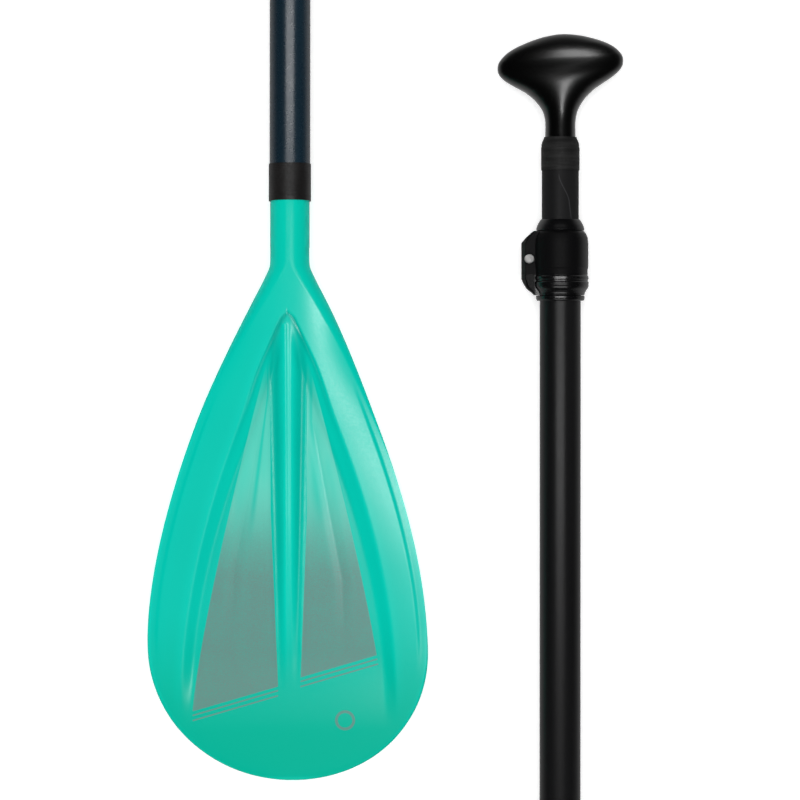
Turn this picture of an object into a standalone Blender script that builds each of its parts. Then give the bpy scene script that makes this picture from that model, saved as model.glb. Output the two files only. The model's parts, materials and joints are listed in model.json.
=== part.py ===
"""Take-apart adjustable paddle-board paddle, both sections lying side by side on the ground.

Metres in the scene, millimetres in the dimensions. +X runs to the right across the two sections,
+Y runs from the blade tip towards the grip, +Z is up. In each section's own frame, s is the
distance along the shaft from the level of the blade tip and z is the height over the shaft axis.
"""

import math

import bmesh
import bpy
import numpy as np
from mathutils import Matrix

MM = 0.001

# Where the two sections lie
LOWER_X = -67.51
UPPER_X = 125.19
S_CENTRE = 307.89
LOWER_TILT_DEG = -1.74
LOWER_HEIGHT = 42.63
UPPER_TILT_DEG = 0.75
UPPER_HEIGHT = 20.1

# Tubes
SHAFT_R = 14.5
SHAFT_BORE_R = 13.5
EXTENSION_R = 13.2
EXTENSION_BORE_R = 12.0
RING_R = 16.0
GAP = 0.3

# Blade
BLADE_HALF_WIDTH = 100.5
BLADE_WIDEST_S = 92.8
BLADE_TIP_S = -1.7
OUTLINE_SHIFT = 2.4
NECK_R = 14.0
NECK_TOP_S = 424.7
STEM_R = 13.2
STEM_TOP_S = 470.0
STEM_BORE_R = 10.5
RAKE_DEG = 7.0
RAKE_START_S = 400.0
RAKE_LENGTH = 140.0

# Lower section
LOWER_SHAFT_S = (425.0, 870.0)
COLLAR_S = (412.0, 438.4)
COLLAR_R = (14.75, 15.2)
JOINT_RING_S = (870.3, 878.0)
SPIGOT_S = (810.0, 930.0)
SPIGOT_R = (11.4, 13.2)
BUTTON_S = 905.0
BUTTON_R = 3.5
BUTTON_TOP = 17.3

# Upper section
UPPER_SHAFT_S = (-261.7, 389.0)
SOCKET_S = (-314.0, -250.0)
SOCKET_SEAT_S = -262.0
BUTTON_HOLE_S = -287.0
CLAMP_S = (345.0, 390.7)
CLAMP_R = 19.8
CLAMP_BORE_R = 14.8
LUG_REACH = 27.7
LUG_HALF_HEIGHT = 8.5
BOLT_X = -22.3
BOLT_S = 370.7
PIN_Z = -13.6
PIN_R = 3.0
LEVER_R = (20.4, 24.8)
LEVER_S = (358.0, 383.4)
LEVER_TIP_DEG = 321.0

# Extension
EXTENSION_S = (-240.0, 451.0)
SLEEVE_S = (434.0, 457.6)
GRIP_LEAN = 0.065

SIDES = 24


def clear_scene():
    for obj in list(bpy.data.objects):
        bpy.data.objects.remove(obj, do_unlink=True)
    for mesh in list(bpy.data.meshes):
        bpy.data.meshes.remove(mesh)


def material(name, colour, roughness, metallic=0.0):
    made = bpy.data.materials.new(name)
    made.use_nodes = True
    shader = made.node_tree.nodes["Principled BSDF"]
    shader.inputs["Base Color"].default_value = (*colour, 1.0)
    shader.inputs["Roughness"].default_value = roughness
    shader.inputs["Metallic"].default_value = metallic
    return made


def empty(name, place, parent=None, tilt_deg=0.0):
    made = bpy.data.objects.new(name, None)
    bpy.context.scene.collection.objects.link(made)
    made.parent = parent
    made.location = [value * MM for value in place]
    made.rotation_euler = (math.radians(tilt_deg), 0.0, 0.0)
    return made


def add(name, points, faces, parent, look, origin=(0.0, 0.0, 0.0)):
    """A closed body from points in its section's frame, with its origin moved to `origin`."""
    mesh = bpy.data.meshes.new(name)
    shifted = (np.array(points, float) - np.array(origin)) * MM
    mesh.from_pydata(shifted.tolist(), [], faces)
    body = bmesh.new()
    body.from_mesh(mesh)
    bmesh.ops.recalc_face_normals(body, faces=body.faces)
    body.to_mesh(mesh)
    body.free()
    obj = bpy.data.objects.new(name, mesh)
    bpy.context.scene.collection.objects.link(obj)
    obj.parent = parent
    if look is None:
        obj.hide_render = True
        obj.display_type = "WIRE"
    else:
        mesh.materials.append(look)
    return obj


def cut(obj, cutter):
    boolean = obj.modifiers.new("cut " + cutter.name, "BOOLEAN")
    boolean.operation = "DIFFERENCE"
    boolean.solver = "EXACT"
    boolean.object = cutter


def turned(profile, closed, sides=SIDES):
    """Points and faces of a profile of (radius, s) turned about the shaft axis.

    A closed profile makes a ring; an open one is capped with a flat disc at each end."""
    turns = [2 * math.pi * k / sides for k in range(sides)]
    points = [(r * math.cos(a), s, r * math.sin(a)) for r, s in profile for a in turns]
    count = len(profile)
    faces = []
    for row in range(count if closed else count - 1):
        low = row * sides
        high = (row + 1) % count * sides
        for k in range(sides):
            after = (k + 1) % sides
            faces.append((low + k, low + after, high + after, high + k))
    if not closed:
        faces.append(tuple(range(sides)))
        faces.append(tuple(range((count - 1) * sides, count * sides)))
    return points, faces


def tube_profile(inner, outer, start, end, chamfer=0.3):
    return [
        (inner, start),
        (outer - chamfer, start),
        (outer, start + chamfer),
        (outer, end - chamfer),
        (outer - chamfer, end),
        (inner, end),
    ]


def tube(name, inner, outer, span, parent, look, chamfer=0.3, origin=(0.0, 0.0, 0.0), sides=SIDES):
    profile = tube_profile(inner, outer, span[0], span[1], chamfer)
    return add(name, *turned(profile, True, sides), parent, look, origin)


def rod_points(centre, axis, radius, length, sides=20, chamfer=0.0):
    """A cylinder from `centre` along +`axis` ("X", "Y" or "Z")."""
    points, faces = turned(
        [
            (radius - chamfer, 0.0),
            (radius, chamfer),
            (radius, length - chamfer),
            (radius - chamfer, length),
        ]
        if chamfer
        else [(radius, 0.0), (radius, length)],
        False,
        sides,
    )
    turn = {
        "X": Matrix.Rotation(-math.pi / 2, 3, "Z"),
        "Y": Matrix.Identity(3),
        "Z": Matrix.Rotation(math.pi / 2, 3, "X"),
    }[axis]
    return np.array(points) @ np.array(turn).T + np.array(centre), faces


def box_points(low, high):
    points = [(x, y, z) for x in (low[0], high[0]) for y in (low[1], high[1]) for z in (low[2], high[2])]
    faces = [(0, 1, 3, 2), (4, 6, 7, 5), (0, 4, 5, 1), (2, 3, 7, 6), (0, 2, 6, 4), (1, 5, 7, 3)]
    return points, faces


def loft(rings):
    """Points and faces through closed rings of equal count, capped at both ends."""
    count = len(rings[0])
    points = [point for ring in rings for point in ring]
    faces = []
    for row in range(len(rings) - 1):
        low = row * count
        high = low + count
        for k in range(count):
            after = (k + 1) % count
            faces.append((low + k, low + after, high + after, high + k))
    faces.append(tuple(range(count)))
    faces.append(tuple(range((len(rings) - 1) * count, len(rings) * count)))
    return points, faces


def smooth(value, low, high):
    """Smooth step from 0 at low to 1 at high; low may be the larger."""
    share = np.clip((value - low) / (high - low), 0.0, 1.0)
    return share * share * (3 - 2 * share)


def bezier(ends, share):
    a, b, c, d = [np.array(end, float) for end in ends]
    left = 1 - share
    return left**3 * a + 3 * left**2 * share * b + 3 * left * share**2 * c + share**3 * d


SHOULDER_KNOTS = ((BLADE_WIDEST_S, BLADE_HALF_WIDTH), (206, BLADE_HALF_WIDTH), (351, 20.9), (350, 21.5))
SHOULDER = np.array([bezier(SHOULDER_KNOTS, t) for t in np.linspace(0, 0.985, 60)])
RECESS = np.array([bezier(((332, 0), (250, 40), (150, 80), (40, 77)), t) for t in np.linspace(0, 1, 60)])[::-1]


def half_width(s):
    """Half the blade's width at a distance s from the tip."""
    if s <= BLADE_WIDEST_S:
        share = (BLADE_WIDEST_S - s) / (BLADE_WIDEST_S - BLADE_TIP_S)
        return BLADE_HALF_WIDTH * math.sqrt(max(0.0, 1 - share**2))
    if s <= 349.5:
        return float(np.interp(s, SHOULDER[:, 0], SHOULDER[:, 1]))
    straight = 21.5 - 0.5 * (s - 350)
    return NECK_R + max(0.0, math.sqrt((straight - NECK_R) ** 2 + 1.5) / 2 + (straight - NECK_R) / 2 - 0.1)


def outline_centre(s):
    """The outline is a little fuller at the left, and its tip lies a little to the right."""
    left = OUTLINE_SHIFT * smooth(s, 20, 120) * smooth(s, 345, 250)
    return 1.1 * smooth(s, 45, 0) - left


def rake(s):
    """Height of the blade's middle plane over the shaft axis."""
    slope = math.tan(math.radians(RAKE_DEG))
    share = min(1.0, max(0.0, (RAKE_START_S - s) / RAKE_LENGTH))
    bend = RAKE_LENGTH * (share**3 - share**4 / 2)
    return -slope * (bend + max(0.0, RAKE_START_S - RAKE_LENGTH - s))


def front_height(x, s):
    """Height of the blade's upper face over its middle plane, before the edge is rounded."""
    across = abs(x)
    share = across / max(half_width(s), 1.0)
    crown = np.interp(s, [0, 60, 150, 250, 300, 335, 375], [2.2, 3.0, 4.2, 6.4, 8.6, 11.0, NECK_R])
    rim = np.interp(s, [0, 150, 250, 300, 335, 375], [2.0, 2.4, 3.0, 4.5, 9.0, NECK_R])
    plateau = rim + (crown - rim) * (1 - share**2)
    inside = float(np.interp(s, RECESS[:, 0], RECESS[:, 1], left=77.0, right=0.0)) - across
    wall = np.interp(s, [40, 300], [6.5, 9.0])
    depth = 3.6 * smooth(s, 35, 90) * smooth(inside, 0.0, wall) * (0.65 + 0.35 * smooth(s, 90, 280))
    spine_width = np.interp(s, [70, 282, 332], [8.0, 13.0, 16.0])
    spine = (1 - smooth(across, 2.0, spine_width)) * smooth(s, 50, 200)
    return plateau - depth * (1 - spine)


def back_height(x, s):
    """Depth of the blade's lower face under its middle plane, before the edge is rounded."""
    share = abs(x) / max(half_width(s), 1.0)
    crown = np.interp(s, [0, 60, 150, 250, 300, 335, 375], [2.0, 2.6, 4.0, 7.0, 9.6, 12.0, NECK_R])
    rim = np.interp(s, [0, 150, 250, 300, 335, 375], [1.8, 2.2, 2.8, 4.5, 9.0, NECK_R])
    return rim + (crown - rim) * (1 - smooth(share, 0.0, 0.6))


def blade_ring(s, sides):
    """One cross-section of the blade as a closed ring of points."""
    width = half_width(s)
    edge = min(width, float(np.interp(s, [0, 280, 335, 375], [2.4, 3.4, 9.0, NECK_R])))
    middle = rake(s)
    centre = outline_centre(s)
    ring = []
    for k in range(sides):
        turn = 2 * math.pi * k / sides
        x = centre + width * math.cos(turn)
        over = max(0.0, abs(x - centre) - (width - edge)) / edge
        rounding = math.sqrt(max(0.0, 1 - over * over))
        height = front_height(x, s) if math.sin(turn) >= 0 else -back_height(x, s)
        ring.append((x, s, middle + height * rounding))
    return ring


def circle_ring(radius, s, sides):
    return [
        (radius * math.cos(2 * math.pi * k / sides), s, radius * math.sin(2 * math.pi * k / sides))
        for k in range(sides)
    ]


def blade(parent, look):
    """Moulded blade with its neck and the hollow stem that goes up into the shaft."""
    sides = 48
    reach = BLADE_WIDEST_S - BLADE_TIP_S
    tip = [BLADE_WIDEST_S - reach * math.cos(t) for t in np.linspace(0.09, math.pi / 2, 11)]
    body = list(np.linspace(104, 368, 24))
    rings = [blade_ring(s, sides) for s in tip + body + [376.0]]
    rings += [circle_ring(NECK_R, s, sides) for s in (400.0, NECK_TOP_S)]
    rings += [circle_ring(STEM_R, s, sides) for s in (NECK_TOP_S, STEM_TOP_S - 1)]
    rings += [circle_ring(STEM_R - 1, STEM_TOP_S, sides), circle_ring(STEM_BORE_R, STEM_TOP_S, sides)]
    rings += [circle_ring(STEM_BORE_R, 405.0, sides)]
    return add("blade", *loft(rings), parent, look)


def clamp_ring(s, radius, reach):
    """One cross-section of the clamp body: a round barrel with a lug at the left."""
    lug = min(LUG_HALF_HEIGHT, radius * 0.5)
    start = math.pi - math.asin(lug / radius)
    sides = 34
    ring = []
    for k in range(sides + 1):
        turn = -start + 2 * start * k / sides
        ring.append((radius * math.cos(turn), s, radius * math.sin(turn)))
    corner = min(1.5, (reach - radius) * 0.5)
    ring.append((-reach + corner, s, lug))
    ring.append((-reach, s, lug - corner))
    ring.append((-reach, s, -lug + corner))
    ring.append((-reach + corner, s, -lug))
    return ring


def clamp_body(parent, look):
    stations = [
        (CLAMP_S[0], 17.3, 18.9),
        (348.1, 18.3, 22.3),
        (350.3, 19.8, 24.6),
        (353.0, 20.2, 26.2),
        (356.2, 20.2, 27.5),
        (357.6, CLAMP_R, LUG_REACH),
        (382.0, CLAMP_R, LUG_REACH),
        (385.5, 19.3, 25.0),
        (388.5, 18.2, 21.8),
        (CLAMP_S[1], 17.0, 18.9),
    ]
    body = add("clamp_body", *loft([clamp_ring(*station) for station in stations]), parent, look)
    bore = add("clamp bore", *rod_points((0, 340, 0), "Y", CLAMP_BORE_R, 60, SIDES), parent, None)
    slit = add("clamp slit", *box_points((-30, 340, -0.9), (-13, 400, 0.9)), parent, None)
    hole = add("bolt hole", *rod_points((BOLT_X, BOLT_S, -20), "Z", 2.8, 40), parent, None)
    head = add("bolt head room", *rod_points((BOLT_X, BOLT_S, 4.5), "Z", 3.8, 20), parent, None)
    for cutter in (bore, slit, hole, head):
        cut(body, cutter)
    return body


def clamp_bolt(parent, look):
    """Tension bolt, head up, with a socket for a hex key."""
    profile = [(2.5, 0.0), (2.5, 15.5), (3.45, 15.5), (3.45, 18.4), (3.1, 18.8)]
    points, faces = turned(profile, False, 24)
    points = np.array(points) @ np.array(Matrix.Rotation(math.pi / 2, 3, "X")).T
    points = points + np.array((BOLT_X, BOLT_S, -10.3))
    bolt = add("clamp_bolt", points, faces, parent, look, (BOLT_X, BOLT_S, 0.0))
    socket = add("hex socket", *rod_points((0, 0, 6.6), "Z", 1.7, 5, 6), parent, None)
    cut(bolt, socket)
    return bolt


def clamp_lever(parent, look):
    """Cam lever that wraps under the clamp body and turns on the pin at its left."""
    hub = 4.8
    knuckle = [math.radians(60 + k * 15) for k in range(13)]
    outer = np.radians(np.linspace(235.0, LEVER_TIP_DEG, 17))
    inner = np.radians(np.linspace(LEVER_TIP_DEG, 222.2, 17))
    rings = []
    for s, inset in ((LEVER_S[0], 1.0), (LEVER_S[0] + 1.5, 0.0), (LEVER_S[1] - 1.5, 0.0), (LEVER_S[1], 1.0)):
        ring = [(BOLT_X + hub * math.cos(turn), s, PIN_Z + hub * math.sin(turn)) for turn in knuckle]
        for turns, radius in ((outer, LEVER_R[1] - inset), (inner, LEVER_R[0])):
            ring += [(radius * math.cos(turn), s, radius * math.sin(turn)) for turn in turns]
        rings.append(ring)
    pivot = (BOLT_X, BOLT_S, PIN_Z)
    lever = add("clamp_lever", *loft(rings), parent, look, pivot)
    bore = add("pin bore", *rod_points((0, -30, 0), "Y", PIN_R + 0.05, 60, 24), parent, None)
    slot = add("fork slot", *box_points((-8, -4.4, -8), (4.6, 4.4, 8)), parent, None)
    cut(lever, bore)
    cut(lever, slot)
    return lever


def grip(parent, look):
    """Palm grip: a wide cap on a flaring neck, with a stem down inside the extension tube."""
    sides = 40
    outline = np.array(
        [
            (459.0, 10.8, 10.8),
            (468.0, 10.8, 10.8),
            (474.0, 11.8, 11.2),
            (478.0, 13.4, 11.6),
            (482.0, 16.0, 12.2),
            (485.5, 18.9, 12.9),
            (488.0, 21.6, 13.5),
            (490.6, 24.8, 14.1),
            (493.5, 29.4, 14.8),
            (497.6, 36.2, 15.5),
            (501.5, 41.2, 16.0),
            (505.0, 43.9, 16.2),
            (508.5, 44.8, 16.3),
            (512.0, 44.4, 16.1),
            (515.0, 42.8, 15.6),
            (519.0, 38.9, 14.4),
            (522.4, 33.6, 12.7),
            (525.3, 26.9, 10.4),
            (527.8, 19.5, 7.7),
            (529.8, 11.8, 4.7),
            (531.2, 4.0, 1.6),
        ]
    )
    rings = [circle_ring(11.0, 425.0, sides), circle_ring(11.7, 425.8, sides)]
    rings += [circle_ring(11.7, 450.6, sides), circle_ring(10.8, 451.6, sides)]
    for s, width, depth in outline:
        lean = GRIP_LEAN * smooth(s, 466, 484)
        ring = []
        for k in range(sides):
            turn = 2 * math.pi * k / sides
            x = width * math.cos(turn)
            ring.append((x, s + x * lean, depth * math.sin(turn)))
        rings.append(ring)
    return add("handle_grip", *loft(rings), parent, look)


def leaf_spring(parent, look):
    """U-shaped leaf inside the spigot that holds the button out."""
    path = [(911.0, 8.2), (890.0, 8.0)]
    path += [(884.0 - 8.0 * math.sin(t), 8.0 * math.cos(t)) for t in np.linspace(0, math.pi, 9)]
    path += [(890.0, -8.6), (912.0, -9.4)]
    rings = []
    for k, (s, z) in enumerate(path):
        ahead = path[min(k + 1, len(path) - 1)]
        behind = path[max(k - 1, 0)]
        length = math.hypot(ahead[0] - behind[0], ahead[1] - behind[1])
        across = (-(ahead[1] - behind[1]) / length * 0.25, (ahead[0] - behind[0]) / length * 0.25)
        rings.append(
            [(x, s + sign * across[0], z + sign * across[1]) for x, sign in ((-3, -1), (3, -1), (3, 1), (-3, 1))]
        )
    return add("button_spring", *loft(rings), parent, look)


def lower_section(looks):
    home = empty("lower_section", (LOWER_X, -S_CENTRE, LOWER_HEIGHT), None, LOWER_TILT_DEG)
    blade(home, looks["teal"])
    tube("blade_collar", *COLLAR_R, COLLAR_S, home, looks["matte"], 0.15)
    tube("lower_shaft", SHAFT_BORE_R, SHAFT_R, LOWER_SHAFT_S, home, looks["navy"], 0.2)
    tube("joint_ring", SPIGOT_R[1] + GAP, RING_R, JOINT_RING_S, home, looks["matte"], 0.8)
    low, high = SPIGOT_S
    inner, outer = SPIGOT_R
    grooved = [(inner, low), (outer - 0.5, low), (outer, low + 0.5)]
    for groove in (882.5, 919.0):
        grooved += [(outer, groove - 1.1), (outer - 0.9, groove - 1.1)]
        grooved += [(outer - 0.9, groove + 1.1), (outer, groove + 1.1)]
    grooved += [(outer, high - 1.0), (outer - 0.8, high), (inner, high)]
    spigot = add("joint_spigot", *turned(grooved, True), home, looks["black"])
    cut(spigot, add("button hole", *rod_points((0, BUTTON_S, 5), "Z", BUTTON_R + 0.3, 20), home, None))
    for name, s in (("o_ring_low", 882.5), ("o_ring_high", 919.0)):
        section = [(12.98 + 0.6 * math.cos(t), s + 0.6 * math.sin(t)) for t in np.linspace(0, 2 * math.pi, 7)[:-1]]
        add(name, *turned(section, True), home, looks["rubber"])
    add("spigot_plug", *turned([(10.0, 914.0), (11.1, 915.0), (11.1, 929.5)], False), home, looks["matte"])
    leaf_spring(home, looks["steel"])
    button = empty("button_axis", (0, BUTTON_S, 0), home)
    cap = [(5.0, 9.0), (5.0, 10.0), (BUTTON_R, 10.0), (BUTTON_R, BUTTON_TOP - 1.3), (3.0, BUTTON_TOP - 0.4), (1.8, BUTTON_TOP)]
    points, faces = turned(cap, False, 24)
    points = np.array(points) @ np.array(Matrix.Rotation(math.pi / 2, 3, "X")).T
    add("snap_button", points, faces, button, looks["steel"])


def upper_section(looks):
    home = empty("upper_section", (UPPER_X, -S_CENTRE, UPPER_HEIGHT), None, UPPER_TILT_DEG)
    shaft = tube("upper_shaft", SHAFT_BORE_R, SHAFT_R, UPPER_SHAFT_S, home, looks["black"], 0.2)
    cut(shaft, add("squeeze slit", *box_points((-20, 345, -0.8), (-8, 395, 0.8)), home, None))
    low, high = SOCKET_S
    seat = SHAFT_R + GAP
    wall = [(SHAFT_BORE_R, low), (RING_R - 0.8, low), (RING_R, low + 0.8), (RING_R, high - 1.2)]
    wall += [(RING_R - 0.8, high), (seat, high), (seat, SOCKET_SEAT_S), (SHAFT_BORE_R, SOCKET_SEAT_S)]
    socket = add("shaft_socket", *turned(wall, True), home, looks["matte"])
    cut(socket, add("button window", *rod_points((0, BUTTON_HOLE_S, 5), "Z", BUTTON_R + 0.6, 20), home, None))
    clamp_body(home, looks["black"])
    tube("clamp_bottom_ring", CLAMP_BORE_R, 17.3, (341.0, CLAMP_S[0] - GAP), home, looks["black"], 0.6)
    low = CLAMP_S[1] + GAP
    cap = [(13.5, low), (16.7, low), (17.0, low + 0.3), (17.0, 396.0), (16.2, 398.0), (14.6, 399.0), (13.5, 399.0)]
    add("clamp_top_ring", *turned(cap, True), home, looks["black"])
    pin = rod_points((BOLT_X, LEVER_S[0] + 0.5, PIN_Z), "Y", PIN_R, LEVER_S[1] - LEVER_S[0] - 1, 24, 0.4)
    add("lever_pin", *pin, home, looks["steel"])
    turn = empty("bolt_axis", (BOLT_X, BOLT_S, 0), home)
    clamp_bolt(turn, looks["steel"])
    swing = empty("lever_pivot", (BOLT_X, BOLT_S, PIN_Z), home)
    clamp_lever(swing, looks["black"])
    slide = empty("extension_slide", (0, 0, 0), home)
    tube("extension_tube", EXTENSION_BORE_R, EXTENSION_R, EXTENSION_S, slide, looks["satin"], 0.3)
    low = EXTENSION_S[0] - GAP
    plug = [(9.0, low - 6), (13.3, low - 6), (13.3, low), (11.7, low), (11.7, low + 16), (10.7, low + 17)]
    plug += [(9.0, low + 17)]
    add("extension_end_plug", *turned(plug, True), slide, looks["matte"])
    grip(slide, looks["gloss"])
    low, high = SLEEVE_S
    sleeve = [(EXTENSION_R + 0.25, low), (13.75, low), (13.75, 450.0), (13.2, 453.5), (11.8, 456.0)]
    sleeve += [(11.7, high), (11.1, high), (11.1, 455.0), (11.6, 453.0), (EXTENSION_R + 0.25, 451.6)]
    add("handle_sleeve", *turned(sleeve, True), slide, looks["rubber"])


def main():
    clear_scene()
    looks = {
        "teal": material("blade_teal", (0.004, 0.58, 0.42), 0.35),
        "navy": material("shaft_navy", (0.012, 0.02, 0.035), 0.3),
        "black": material("gloss_black", (0.012, 0.012, 0.013), 0.3),
        "satin": material("extension_black", (0.014, 0.014, 0.014), 0.4),
        "matte": material("collar_black", (0.02, 0.02, 0.02), 0.6),
        "gloss": material("grip_black", (0.006, 0.006, 0.006), 0.15),
        "rubber": material("sleeve_black", (0.01, 0.01, 0.01), 0.8),
        "steel": material("steel", (0.55, 0.55, 0.55), 0.3, 1.0),
    }
    lower_section(looks)
    upper_section(looks)


main()
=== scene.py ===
"""Looks of the take-apart adjustable paddle: fine meshes, materials, light and camera.

Each section has its own frame, in millimetres: x across, s along the shaft from the level of the
blade tip, z up from the shaft axis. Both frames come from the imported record.
"""

import json
import math

import bmesh
import bpy
import numpy as np
from mathutils import Matrix, Vector


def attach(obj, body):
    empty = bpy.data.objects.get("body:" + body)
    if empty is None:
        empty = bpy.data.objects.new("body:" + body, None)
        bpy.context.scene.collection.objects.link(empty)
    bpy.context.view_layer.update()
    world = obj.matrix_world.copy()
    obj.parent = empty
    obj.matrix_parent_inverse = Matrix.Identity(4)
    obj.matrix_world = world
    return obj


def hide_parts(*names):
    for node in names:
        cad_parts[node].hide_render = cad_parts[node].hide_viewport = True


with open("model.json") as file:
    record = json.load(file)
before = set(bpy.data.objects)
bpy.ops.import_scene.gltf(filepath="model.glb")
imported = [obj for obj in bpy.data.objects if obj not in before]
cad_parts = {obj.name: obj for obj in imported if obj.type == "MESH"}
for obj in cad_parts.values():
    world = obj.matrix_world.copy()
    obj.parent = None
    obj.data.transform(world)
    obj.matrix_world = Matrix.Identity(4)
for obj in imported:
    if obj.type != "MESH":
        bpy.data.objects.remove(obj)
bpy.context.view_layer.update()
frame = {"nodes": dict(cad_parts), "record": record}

MM = 0.001
SIDES = 112
SHARP_DEG = 32.0

# Measures shared with the CAD, in millimetres
SHAFT_R = 14.5
SHAFT_BORE_R = 13.5
EXTENSION_R = 13.2
EXTENSION_BORE_R = 12.0
RING_R = 16.0
NECK_R = 14.0
NECK_TOP_S = 424.7
STEM_R = 13.2
STEM_TOP_S = 470.0
STEM_BORE_R = 10.5
BLADE_HALF_WIDTH = 100.5
BLADE_WIDEST_S = 92.8
BLADE_TIP_S = -1.7
BLADE_CLEARANCE = 0.08
OUTLINE_SHIFT = 2.4
RELIEF_SHIFT = -1.4
RAKE_DEG = 7.0
RAKE_START_S = 400.0
RAKE_LENGTH = 140.0
BUTTON_S = 905.0
BUTTON_HOLE_S = -287.0
O_RINGS = {"o_ring_low": 882.5, "o_ring_high": 919.0}
BOLT_X = -22.3
BOLT_S = 370.7
PIN_Z = -13.6
CLAMP_TOP_S = 390.7
LEVER_R = (20.4, 24.8)
LEVER_S = (358.0, 383.4)
LEVER_TIP_DEG = 321.0
LUG_REACH = 27.7
LUG_HALF_HEIGHT = 8.5
GRIP_LEAN = 0.065
MOUNT_OFFSET = 14.35


# ---------------------------------------------------------------- frames of the two sections


def record_entry(entries, name):
    return next(entry for entry in entries if entry["name"] == name)


def section_matrix(mount_name, mount_s, direction):
    """Matrix from a section's millimetre frame to the row frame, from a mount on its end face."""
    mount = record_entry(frame["record"]["mounts"], mount_name)
    across = Vector((1, 0, 0))
    along = (Vector(mount["axis"]) * direction).normalized()
    up = across.cross(along)
    origin = Vector(mount["pos_m"]) - across * MOUNT_OFFSET * MM - along * mount_s * MM
    turn = Matrix((across, along, up)).transposed().to_4x4()
    return Matrix.Translation(origin) @ turn


LOWER = section_matrix("joint_shoulder", 878.0, 1)
UPPER = section_matrix("upper_shaft_end", -314.0, -1)
LOWER_HOME = (LOWER, "lower_section")
UPPER_HOME = (UPPER, "upper_section")
EXTENSION_HOME = (UPPER, "extension")


# ---------------------------------------------------------------- mesh helpers


def piece(name, points, faces, section, body, look, replaced=(), sharp_deg=SHARP_DEG):
    """A piece from points in a section's frame that rides on a body and takes the place of CAD nodes.

    Each point keeps its place in the section's frame, in metres, as an attribute for the materials.
    Without a look it is a hidden cutter."""
    mesh = bpy.data.meshes.new(name)
    local = np.array(points, float) * MM
    turn = np.array(section)
    mesh.from_pydata((local @ turn[:3, :3].T + turn[:3, 3]).tolist(), [], faces)
    place = mesh.attributes.new("place", "FLOAT_VECTOR", "POINT")
    place.data.foreach_set("vector", local.ravel())
    solid = bmesh.new()
    solid.from_mesh(mesh)
    bmesh.ops.recalc_face_normals(solid, faces=solid.faces)
    solid.to_mesh(mesh)
    solid.free()
    mesh.shade_smooth()
    mesh.set_sharp_from_angle(angle=math.radians(sharp_deg))
    obj = bpy.data.objects.new(name, mesh)
    bpy.context.scene.collection.objects.link(obj)
    if look is not None:
        mesh.materials.append(look)
        bpy.context.view_layer.update()
        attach(obj, body)
        if replaced:
            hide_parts(*replaced)
    else:
        obj.hide_render = True
        obj.hide_viewport = True
    return obj


def cut(obj, cutter, section):
    """Cuts the cutter away from the piece, applies the cut and gives the new points their place."""
    boolean = obj.modifiers.new("cut", "BOOLEAN")
    boolean.operation = "DIFFERENCE"
    boolean.solver = "EXACT"
    cutter.hide_viewport = False
    boolean.object = cutter
    bpy.context.view_layer.update()
    graph = bpy.context.evaluated_depsgraph_get()
    cut_mesh = bpy.data.meshes.new_from_object(obj.evaluated_get(graph))
    obj.modifiers.clear()
    obj.data = cut_mesh
    cut_mesh.shade_smooth()
    cut_mesh.set_sharp_from_angle(angle=math.radians(SHARP_DEG))
    points = np.empty(len(cut_mesh.vertices) * 3)
    cut_mesh.vertices.foreach_get("co", points)
    back = np.array(section.inverted() @ obj.matrix_world)
    place = points.reshape(-1, 3) @ back[:3, :3].T + back[:3, 3]
    cut_mesh.attributes["place"].data.foreach_set("vector", place.ravel())
    bpy.data.objects.remove(cutter, do_unlink=True)


def turned(profile, closed, sides=SIDES):
    """Points and faces of a profile of (radius, s) turned about the shaft axis."""
    turns = np.linspace(0, 2 * math.pi, sides, endpoint=False)
    points = [(r * math.cos(a), s, r * math.sin(a)) for r, s in profile for a in turns]
    count = len(profile)
    faces = []
    for row in range(count if closed else count - 1):
        low = row * sides
        high = (row + 1) % count * sides
        for k in range(sides):
            after = (k + 1) % sides
            faces.append((low + k, low + after, high + after, high + k))
    if not closed:
        faces.append(tuple(range(sides)))
        faces.append(tuple(range((count - 1) * sides, count * sides)))
    return points, faces


def round_ring(radius, s, turns):
    """Points of a circle about the shaft axis at a distance s."""
    return np.stack([radius * np.cos(turns), np.full_like(turns, s), radius * np.sin(turns)], axis=1)


def loft(rings):
    """Points and faces through closed rings of equal count, capped at both ends."""
    count = len(rings[0])
    points = np.concatenate([np.array(ring, float) for ring in rings])
    faces = []
    for row in range(len(rings) - 1):
        low = row * count
        high = low + count
        for k in range(count):
            after = (k + 1) % count
            faces.append((low + k, low + after, high + after, high + k))
    faces.append(tuple(range(count)))
    faces.append(tuple(range((len(rings) - 1) * count, len(rings) * count)))
    return points, faces


def rounded(corners, radius=0.4, steps=4, closed=True):
    """A profile with each corner replaced by a small arc-like curve."""
    made = []
    count = len(corners)
    for k, corner in enumerate(corners):
        here = np.array(corner, float)
        if not closed and k in (0, count - 1):
            made.append(tuple(here))
            continue
        before = np.array(corners[k - 1], float) - here
        after = np.array(corners[(k + 1) % count], float) - here
        reach_before = min(radius, np.linalg.norm(before) * 0.45)
        reach_after = min(radius, np.linalg.norm(after) * 0.45)
        start = here + before / np.linalg.norm(before) * reach_before
        end = here + after / np.linalg.norm(after) * reach_after
        for t in np.linspace(0, 1, steps):
            made.append(tuple((1 - t) ** 2 * start + 2 * t * (1 - t) * here + t * t * end))
    return made


UPRIGHT = np.array(Matrix.Rotation(math.pi / 2, 3, "X")).T


def rod(centre, axis, radius, length, sides=48):
    """Points and faces of a cylinder from `centre` along +"Y" or +"Z"."""
    corners = [(0.01, 0.0), (radius, 0.0), (radius, length), (0.01, length)]
    points, faces = turned(corners, False, sides)
    turn = np.identity(3) if axis == "Y" else UPRIGHT
    return np.array(points) @ turn + np.array(centre), faces


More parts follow.
